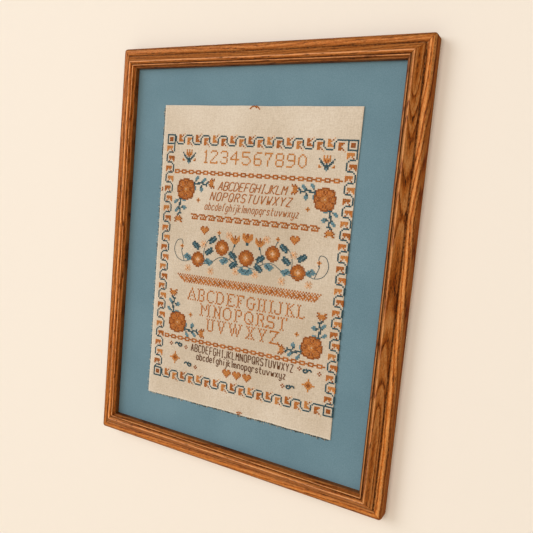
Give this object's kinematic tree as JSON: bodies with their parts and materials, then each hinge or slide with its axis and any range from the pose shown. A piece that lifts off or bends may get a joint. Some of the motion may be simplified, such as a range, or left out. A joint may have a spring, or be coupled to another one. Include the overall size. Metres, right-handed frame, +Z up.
{
  "type": "framed cross stitch sampler",
  "caption": "Cross stitch sampler on cream cloth, laid on a blue board inside a mitred, moulded wooden frame that hangs on a wall.",
  "frame": {"origin": "on the back of the top rail, at its middle, where the frame meets the wall", "axes": "+X to the viewer's right, +Y into the wall, +Z up; the cloth faces -Y"},
  "size_m": [0.3908, 0.025, 0.4958],
  "materials": {
    "stained_oak": "stained oak with open grain and a satin varnish",
    "blue_board": "matt grey-blue paper face with a fine fibre",
    "linen": "matt plain weave cloth, unbleached, with raised cotton stitches",
    "rust_thread": "six-strand cotton in light, mid and dark rust, with a slight sheen along each strand",
    "blue_thread": "six-strand cotton in dark teal and mid blue, with a slight sheen along each strand"
  },
  "bodies": {
    "root": {"top_rail": "stained_oak", "bottom_rail": "stained_oak", "left_stile": "stained_oak", "right_stile": "stained_oak", "mount_board": "blue_board", "stitched_cloth": "linen"}
  },
  "joints": []
}
